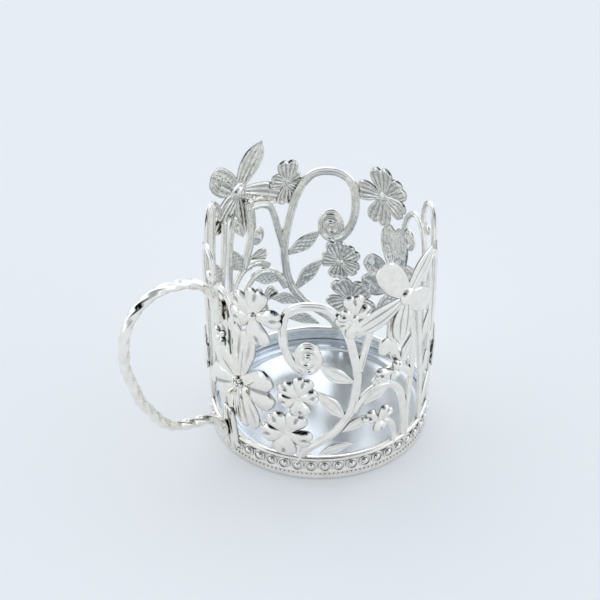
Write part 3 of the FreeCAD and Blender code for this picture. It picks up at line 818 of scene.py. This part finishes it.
# %% [markdown]
# The lily has lance-shaped and rounded petals. Its two tips stand over the rim, and the round
# and the pointed one change places between the halves, so the tips are a piece of their own.

# %% Lily
LILY = (98.5, 64.0)
LILY_LOW = [(204, 20.0, 8.0, LANCE_SIDE, lanced), (265, 17.6, 7.4, LANCE_SIDE, lanced),
            (322, 15.0, 7.8, ROUND_SIDE, domed)]
LILY_TIPS = {
    "front": [(122, 17.6, 8.3, ROUND_SIDE, domed), (47, 16.2, 7.6, TIP_SIDE, lanced)],
    "rear": [(122, 17.4, 7.6, TIP_SIDE, lanced), (47, 16.2, 8.4, ROUND_SIDE, lanced)]}


def lily_petals(petals):
    return [petal(LILY, *one, straight_reach, face, ridged, RELIEF / 2 + 0.2 + 0.15 * (i % 2), 0.9,
                  rows=30, columns=48) for i, (*one, face) in enumerate(petals)]


both_halves("lily", lily_petals(LILY_LOW) + [
    boss(LILY, 3.2, RELIEF / 2, 0.8, 0.8), boss(LILY, 2.2, 0.2, 0.2, 1.3)])
for half, tips in LILY_TIPS.items():
    cast_half(half, "lily_tips", mesh_of("lily_tips", lily_petals(tips)))

# %% [markdown]
# The flowers' middles that stand proud are separate turned grains, soldered on last.

# %% Buttons
both_halves("primrose_button", [boss(FLOWERS["primrose"][0], 1.3, RELIEF, 1.3, 0.4)])
both_halves("lily_button", [boss(LILY, 2.7, RELIEF, 1.9, 0.4, squash=1.12)])
GRAINS, GRAIN_RING = 7, 1.5     # grains round the dogwood's eye, and their ring's radius in mm
stamens = [boss(DOGWOOD, 0.8, 0.7, 0.8, 0.8)]
for i in range(GRAINS):
    turn = 2 * math.pi * i / GRAINS
    place = (DOGWOOD[0] + GRAIN_RING / DEGREE * math.cos(turn),
             DOGWOOD[1] + GRAIN_RING * math.sin(turn))
    stamens.append(boss(place, 0.7, 0.5, 0.7, 0.7, spokes=14, rings=5))
both_halves("dogwood_stamen", stamens)

# %% [markdown]
# ## The plate behind the handle
# Where the two halves meet under the handle, a lobed plate closes the wall and carries the
# handle's feet. It is cast with soft folds, and the stems behind it end in it. A lump of it laps
# over the band, and a thin strip of painted shadow runs up the edge of its upper blade, where the
# gap beside it is dark.

# %% Seam plate
BLUNT_SIDE = smooth_profile([(0.0, 0.50), (0.20, 0.80), (0.45, 1.0), (0.80, 0.94), (0.95, 0.60),
                             (1.0, 0.0)])
FOLDED = (straight_reach, streaked, plain_back)
seam_shells = [
    petal((-6, 40), 88, 19.4, 12.8, BLUNT_SIDE, *FOLDED, -0.7, 1.0),
    petal((-3.6, 37), 272, 26.0, 11.6, SEAM_SIDE, *FOLDED, -0.8, 1.0),
    petal((0.5, 17.5), 270, 16.0, 8.6, BLUNT_SIDE, *FOLDED, 0.1, 1.0),
    boss((-5.6, 38.4), 6.2, -0.8, 1.1, 0.6, power=3.0, squash=1.05)]
# A narrow strip of painted shadow along the right edge of the upper blade.
points, faces, _ = petal((4.2, 38.5), 90.5, 18.0, 0.42, BLUNT_SIDE, straight_reach, plain_back,
                         plain_back, -0.30, 0.4)
seam_shells.append((points, faces, np.ones(len(points))))      # the seam's shadow line, painted at full shade
seam_shells += [petal((-2.4, 43.6), turn, 3.4, 2.2, LEAF_SIDE, straight_reach, puffed, plain_back,
                      0.2, 0.5, pinched=True, rows=12, columns=10) for turn in (50, 130, 230, 310)]
finish_piece("seam_plate_cast", mesh_of("seam_plate_cast", seam_shells), "seam_plate")

# %% [markdown]
# ## The base band and pan
# Both are turned forms, so a profile is swept round the axis. The band has a plain upper edge, a
# channel for the beads and a rounded foot. The pan is a shallow spun dish with a stepped rim.

# %% Turned forms
BAND_HEIGHT = 8.4       # mm


def turned(profile, segments=180):
    """A closed profile of (radius, height) in mm, swept round the axis."""
    turns = np.linspace(0, 2 * np.pi, segments, endpoint=False)
    ring = len(profile)
    points = [(r * math.cos(a) * MM, r * math.sin(a) * MM, z * MM)
              for a in turns for r, z in profile]
    faces = [(i * ring + j, i * ring + (j + 1) % ring, ((i + 1) % segments) * ring + (j + 1) % ring,
              ((i + 1) % segments) * ring + j) for i in range(segments) for j in range(ring)]
    return points, faces


def wall_at(height, offset=0.0):
    return BASE_RADIUS + FLARE * height + offset


BORE = BASE_RADIUS - WALL
band_profile = [
    (BORE, 0.25), (BORE + 0.25, 0.0), (wall_at(0, -0.3), 0.0), (wall_at(0.3), 0.3),
    (wall_at(0.9, 0.05), 0.9), (wall_at(1.2, -0.12), 1.2), (wall_at(2.3, -0.12), 2.3),
    (wall_at(2.6, 0.05), 2.6), (wall_at(2.95, 0.02), 2.95), (wall_at(3.15, -0.15), 3.15),
    (wall_at(6.9, -0.15), 6.9), (wall_at(7.1, 0.05), 7.1), (wall_at(7.5, 0.12), 7.5),
    (wall_at(7.9, 0.0), 7.9), (wall_at(8.2, -0.25), 8.2), (wall_at(8.36, -0.6), 8.36),
    (BORE + 0.7, BAND_HEIGHT), (BORE + 0.35, 8.3), (BORE + 0.12, 8.05), (BORE, 7.6)]
finish_piece("base_band_turned", mesh_of("base_band_turned", [turned(band_profile)]), "base_band")


def pan_profile():
    """Upper face out to the rim, then back along the underside."""
    rise = 1.4
    upper, lower = [], []
    for share in np.linspace(0, 1, 24):
        radius = 26.5 * share
        upper.append((radius, 2.2 + rise * (radius / BORE)**2))
        lower.append((radius, 1.2 + rise * (radius / BORE)**2))
    edge = upper[-1][1]
    upper += [(27.2, edge + 0.10), (27.7, edge + 0.42), (28.3, edge + 0.52), (29.8, edge + 0.80),
              (BORE - 0.4, edge + 0.98), (BORE, edge + 1.30)]
    lower += [(28.3, edge - 0.42), (BORE, edge - 0.38)]
    return upper + lower[::-1]


finish_piece("base_pan_spun", mesh_of("base_pan_spun", [turned(pan_profile())]), "base_pan")

# %% [markdown]
# ## Beads and millgrain
# Fifty round beads stand in the band's channel, each in a thin ring, over a row of fine millgrain.
# A tree places them: a circle of points, one instance on each, turned to face outwards.

# %% The bead tree
BEAD_HEIGHT, GRAIN_HEIGHT = 5.0, 1.7    # heights of the two rows' middles, mm
ROW_SUNK = 0.1                          # how far their middles lie inside the wall's line, mm


def row_of_points(tree, given):
    """Evenly spaced points round the axis, at the row's radius and height."""
    radius, height = in_metres(tree, given, "Row Radius", "Height")
    row = geometry(tree, "MeshCircle", Vertices=given["Count"], Radius=radius)
    return geometry(tree, "Transform", Geometry=row, Translation=combine(tree, z=height))


def bead_tree():
    tree, given = new_tree("bead_row", {
        "Count": 50, "Row Radius": 33.2, "Height": 5.0, "Bead": 1.05, "Rise": 0.75,
        "Ring": 1.76, "Ring Wire": 0.24})
    bead, rise, hoop, wire = in_metres(tree, given, "Bead", "Rise", "Ring", "Ring Wire")
    level = vector_maths(tree, "MULTIPLY", geometry(tree, "InputPosition"), (1, 1, 0))
    facing = add_node(tree, "FunctionNodeAlignRotationToVector", {"axis": "Z"},
                      {"Vector": level}).outputs[0]
    dome = geometry(tree, "Transform",
                    Geometry=geometry(tree, "MeshUVSphere", Segments=16, Rings=10, Radius=bead),
                    Scale=combine(tree, x=1.0, y=1.0, z=maths(tree, "DIVIDE", rise, bead)))
    ring = geometry(tree, "CurveToMesh",
                    Curve=geometry(tree, "CurvePrimitiveCircle", Resolution=20, Radius=hoop),
                    Profile_Curve=geometry(tree, "CurvePrimitiveCircle", Resolution=6,
                                           Radius=wire))
    both = add_node(tree, "GeometryNodeJoinGeometry")
    for made in (dome, ring):
        tree.links.new(made, both.inputs[0])
    return end_tree(tree, given, geometry(
        tree, "InstanceOnPoints", Points=row_of_points(tree, given), Instance=both.outputs[0],
        Rotation=facing))


def grain_tree():
    tree, given = new_tree("millgrain_row", {
        "Count": 150, "Row Radius": 33.0, "Height": 1.7, "Grain": 0.34})
    ball = geometry(tree, "MeshIcoSphere", Radius=in_metres(tree, given, "Grain")[0],
                    Subdivisions=2)
    return end_tree(tree, given, geometry(
        tree, "InstanceOnPoints", Points=row_of_points(tree, given), Instance=ball))


def run_row(tree, name, height):
    """A row of beads or grains that is sunk a little into the band at a height."""
    return run_tree(tree, name, [], [], **{
        "Row Radius": wall_at(height, -ROW_SUNK), "Height": height,
        "Material": SILVER["band_silver"]})


bead_mesh = run_row(bead_tree(), "beads", BEAD_HEIGHT)
grain_mesh = run_row(grain_tree(), "millgrain", GRAIN_HEIGHT)
finish_piece("band_beads_set", mesh_of("band_beads_set", [shells_of(bead_mesh),
                                                          shells_of(grain_mesh)]), "band_beads")
print("bead faces:", len(bead_mesh.polygons), "millgrain faces:", len(grain_mesh.polygons))

# %% [markdown]
# ## The twisted handle
# The handle is square wire, twisted before it was bent, so its corners wind round it. A sweep
# with the curve's tilt growing along its length does exactly that: corner points, a fillet at
# each, even steps, and a tilt of a quarter turn every few millimetres. Its corners are well worn.

# %% The twisted wire tree
HANDLE = {"wire": 3.2, "reach": 33.0, "top": 71.0, "bottom": 16.4, "upper": 60.0, "foot": 9.0,
          "joint": 0.3}     # mm; wire is the width that the line leaves for it


def twisted_wire_tree():
    tree, given = new_tree("twisted_square_wire", {
        "Wire": 3.0, "Bend": 16.0, "Quarter Turn": 5.2, "Step": 0.35, "Corner": 0.95})
    wire, bend, step, corner, quarter = in_metres(tree, given, "Wire", "Bend", "Step", "Corner",
                                                  "Quarter Turn")
    bent = geometry(tree, "FilletCurve", {"mode": "POLY"},
                    Curve=geometry(tree, "MeshToCurve", Mesh=given["Geometry"]),
                    Count=14, Radius=bend, Limit_Radius=True)
    even = geometry(tree, "ResampleCurve", {"mode": "LENGTH"}, Curve=bent, Length=step)
    along = add_node(tree, "GeometryNodeSplineParameter").outputs["Length"]
    twist = maths(tree, "MULTIPLY", maths(tree, "DIVIDE", along, quarter), math.pi / 2)
    twisted = geometry(tree, "SetCurveTilt", Curve=even, Tilt=twist)
    rounded = geometry(tree, "FilletCurve", {"mode": "POLY"},
                       Curve=geometry(tree, "CurvePrimitiveQuadrilateral", Width=wire,
                                      Height=wire), Count=5, Radius=corner, Limit_Radius=True)
    section = geometry(tree, "ResampleCurve", {"mode": "EVALUATED"}, Curve=rounded)
    return end_tree(tree, given, geometry(tree, "CurveToMesh", Curve=twisted,
                                          Profile_Curve=section, Fill_Caps=True))


def handle_corners():
    """The corners of the handle's line, from its upper foot round to its lower one."""
    reach, top, bottom = HANDLE["reach"], HANDLE["top"], HANDLE["bottom"]
    drop = top - bottom
    places = [(0, HANDLE["upper"] - HANDLE["foot"]), (0, HANDLE["upper"]),
              (0.20 * reach, top - 0.05 * drop), (0.62 * reach, top),
              (0.97 * reach, top - 0.13 * drop), (reach, bottom + 0.58 * drop),
              (0.86 * reach, bottom + 0.30 * drop), (0.60 * reach, bottom + 0.04 * drop),
              (0.30 * reach, bottom), (0, bottom - 1.5), (0, bottom - HANDLE["foot"])]
    return [(-wall_at(z, HANDLE["joint"] + HANDLE["wire"] / 2 + out) * MM, 0, z * MM)
            for out, z in places]


corners = handle_corners()
handle_mesh = run_tree(twisted_wire_tree(), "handle", corners,
                       [(i, i + 1) for i in range(len(corners) - 1)],
                       Material=SILVER["handle_wire"])
finish_piece("handle_twisted", mesh_of("handle_twisted", [shells_of(handle_mesh)]), "handle")
print("handle faces:", len(handle_mesh.polygons))

# %% [markdown]
# ## Floor, light and camera
# Silver shows its surroundings, so they are most of its look: a pale table and a blue-white tent
# all round. Behind the camera the tent has a grey zone with three small black ones in it, which
# draw the dark lines in the relief, and across from it a blue-grey and a white one for the pan
# and the inside of the wall.

# %% Floor
HALF_FLOOR = 3.0        # m
FLOOR_GAP = 0.0002      # m below the holder's foot
PAPER_GLOW = 0.38       # light that comes through the translucent table
floor_mesh = bpy.data.meshes.new("floor")
floor_mesh.from_pydata([(x * HALF_FLOOR, y * HALF_FLOOR, 0)
                        for x, y in ((-1, -1), (1, -1), (1, 1), (-1, 1))], [], [(0, 1, 2, 3)])
floor_material = bpy.data.materials.new("matt_paper_sweep")
tree = empty_tree(floor_material)
paper = add_node(tree, "ShaderNodeBsdfPrincipled", inputs={
    "Base Color": linear("#C6C8C8"), "Roughness": 0.9, "Specular IOR Level": 0.1,
    "Emission Color": linear("#F2F6FC"), "Emission Strength": PAPER_GLOW})
add_node(tree, "ShaderNodeOutputMaterial", inputs={"Surface": paper.outputs["BSDF"]})
floor_mesh.materials.append(floor_material)
floor = new_object("floor", floor_mesh)
floor.location.z = -FLOOR_GAP

# %% Camera
CAMERA_AZIMUTH, CAMERA_ELEVATION, CAMERA_DISTANCE = math.radians(-35), math.radians(36.57), 1.051
AIM = Vector((-0.0049, 0.0034, 0.0427))


def direction(azimuth, elevation):
    """A unit vector towards an azimuth from the front and an elevation, both in radians."""
    return Vector((math.sin(azimuth) * math.cos(elevation),
                   -math.cos(azimuth) * math.cos(elevation), math.sin(elevation)))


back = direction(CAMERA_AZIMUTH, CAMERA_ELEVATION)
camera_data = bpy.data.cameras.new("camera")
camera_data.lens = 209.2
camera_data.sensor_width = 36
camera = new_object("camera", camera_data)
camera.location = AIM + back * CAMERA_DISTANCE
camera.rotation_mode = "QUATERNION"
camera.rotation_quaternion = (-back).to_track_quat("-Z", "Y")
bpy.context.scene.camera = camera

# %% World
# azimuth from the camera's and elevation, inner and outer radius, all in degrees, colour, strength
PATCHES = [
    (0, 50, 24, 70, "#777C81", 0.9),
    (-12, 37, 8, 16, "#08090A", 1.0),
    (12, 37, 8, 16, "#08090A", 1.0),
    (-43, 41, 9, 18, "#08090A", 1.0),
    (152, 40, 6, 22, "#9DB0C4", 0.7),
    (-160, 42, 8, 26, "#FFFFFF", 1.0),
]
TENT_STRENGTH = 1.50
world = bpy.data.worlds.new("light_tent")
tree = empty_tree(world)
here = add_node(tree, "ShaderNodeTexCoord").outputs["Generated"]
height = add_node(tree, "ShaderNodeSeparateXYZ", inputs={0: here}).outputs[2]
tent = colour_ramp(tree, height, (0.0, "#D6E0EA"), (0.6, "#EEF4FC"))
for azimuth, elevation, inner, outer, colour, strength in PATCHES:
    middle = direction(CAMERA_AZIMUTH + math.radians(azimuth), math.radians(elevation))
    near = vector_maths(tree, "DOT_PRODUCT", here, middle)
    share = map_range(tree, near, math.cos(math.radians(outer)), math.cos(math.radians(inner)),
                      0.0, strength, interpolation_type="SMOOTHSTEP")
    tent = mix_colour(tree, share, tent, linear(colour))
glow = add_node(tree, "ShaderNodeBackground", inputs={"Color": tent, "Strength": TENT_STRENGTH})
add_node(tree, "ShaderNodeOutputWorld", inputs={"Surface": glow.outputs["Background"]})
bpy.context.scene.world = world
bpy.context.scene.view_settings.view_transform = "Standard"
